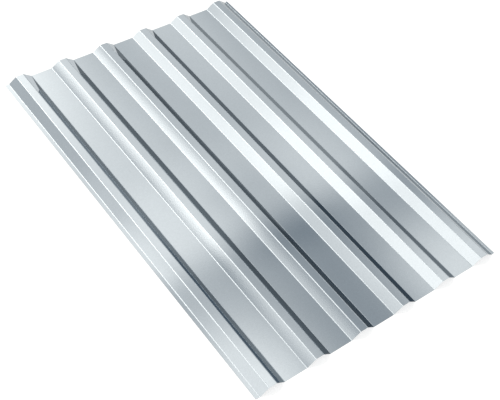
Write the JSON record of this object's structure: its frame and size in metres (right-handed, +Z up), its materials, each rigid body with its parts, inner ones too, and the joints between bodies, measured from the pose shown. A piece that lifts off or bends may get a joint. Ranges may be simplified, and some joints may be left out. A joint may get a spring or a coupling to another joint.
{
  "type": "corrugated metal sheet",
  "caption": "Roll-formed galvanised steel roofing sheet with low trapezoidal ribs along its length, wide flat pans between them and a narrow lap lip at each side.",
  "frame": {"origin": "middle of the footprint, on the plane that the pans rest on", "axes": "+X across the ribs, from the flat lip to the raised lip, +Y along the ribs, +Z up, the way the crowns stand"},
  "size_m": [0.7771, 1.2, 0.0185],
  "materials": {
    "galvanised_steel": "smooth hot-dip zinc coat, semi-gloss, bluish grey"
  },
  "bodies": {
    "root": {"corrugated_sheet": "galvanised_steel"}
  },
  "joints": []
}
